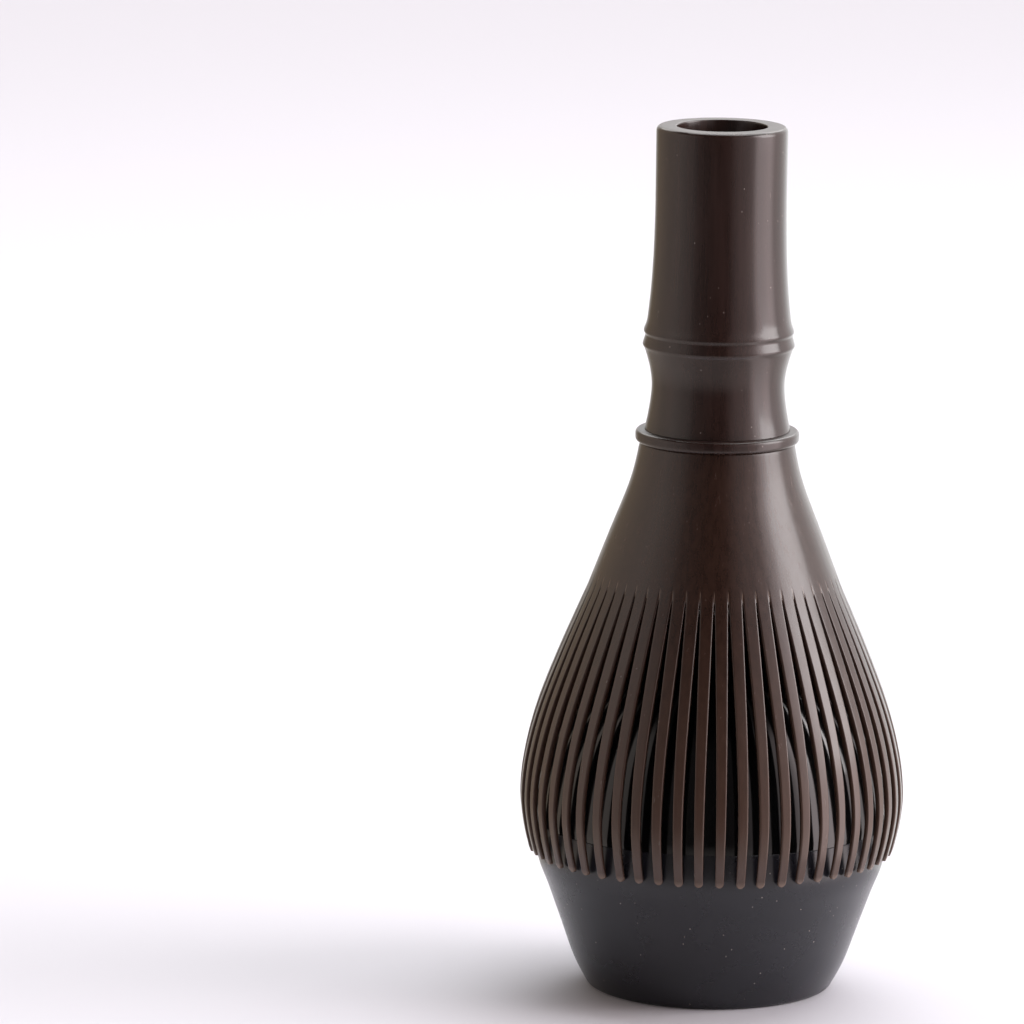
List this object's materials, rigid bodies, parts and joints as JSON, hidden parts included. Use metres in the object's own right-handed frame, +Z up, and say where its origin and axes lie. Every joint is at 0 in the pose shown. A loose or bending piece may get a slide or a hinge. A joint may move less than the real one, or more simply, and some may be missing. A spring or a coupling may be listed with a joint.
{
  "type": "tea whisk on shaping stand",
  "caption": "Moulded tea whisk with a hollow bamboo-style handle, a collar ring and a ring of spread tines, standing tips down on a domed shaping stand.",
  "frame": {"origin": "centre of the stand's foot, on the surface it stands on", "axes": "+Z up along the common axis of the whisk and the stand, -Y towards the viewer"},
  "size_m": [0.0607, 0.0608, 0.1373],
  "materials": {
    "whisk_handle_resin": "satin gloss, dark brown, moulded",
    "whisk_collar_resin": "satin gloss, dark brown, moulded",
    "whisk_head_resin": "satin, dark brown, fine lengthwise moulding lines",
    "stand_dome_resin": "gloss black, moulded",
    "stand_cup_resin": "satin gloss charcoal black, moulded"
  },
  "bodies": {
    "stand": {"stand_cup": "stand_cup_resin", "stand_dome": "stand_dome_resin"},
    "whisk": {"handle": "whisk_handle_resin", "collar": "whisk_collar_resin", "tine_head": "whisk_head_resin"}
  },
  "joints": [
    {"name": "whisk_lift", "type": "slide", "parent": "stand", "child": "whisk", "axis": [0, 0, 1], "range_m": [0, 0.05]}
  ]
}
